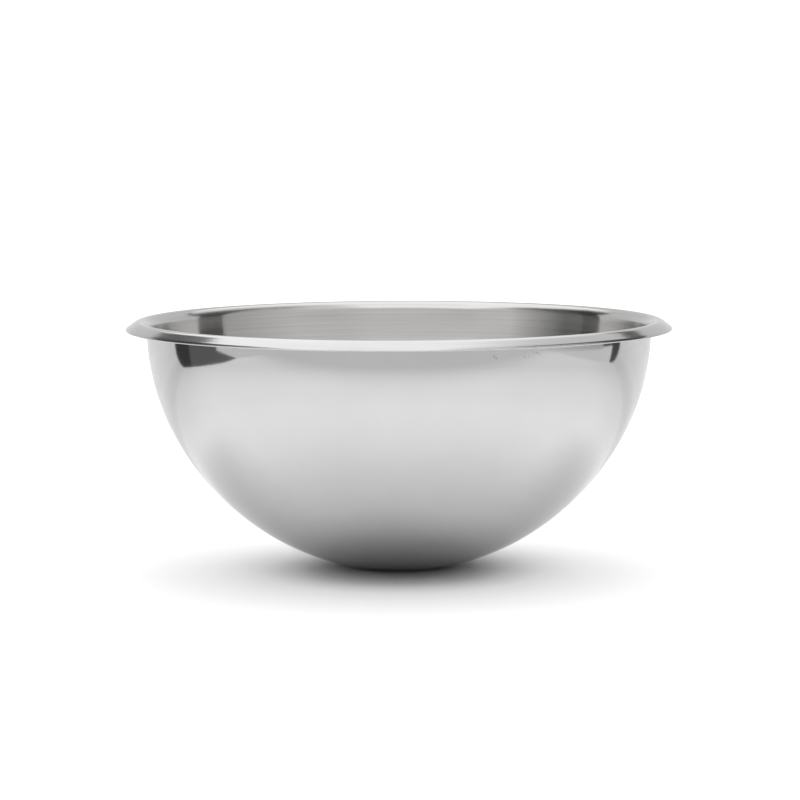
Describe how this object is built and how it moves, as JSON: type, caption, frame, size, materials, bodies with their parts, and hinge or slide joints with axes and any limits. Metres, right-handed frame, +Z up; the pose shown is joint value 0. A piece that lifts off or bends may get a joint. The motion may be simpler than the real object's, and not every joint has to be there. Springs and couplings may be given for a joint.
{
  "type": "mixing bowl",
  "caption": "Hemispherical stainless steel mixing bowl with a small flat base, a polished outside, a brushed inside and an outward-sloping open rim with a turned-down lip.",
  "frame": {"origin": "middle of the underside of the flat base", "axes": "+Z up along the bowl's axis, towards its mouth; +X and +Y are interchangeable, because the bowl is round"},
  "size_m": [0.2624, 0.2624, 0.1185],
  "materials": {
    "stainless_steel": "polished outside, spun-brushed inside"
  },
  "bodies": {
    "root": {"bowl": "stainless_steel"}
  },
  "joints": []
}
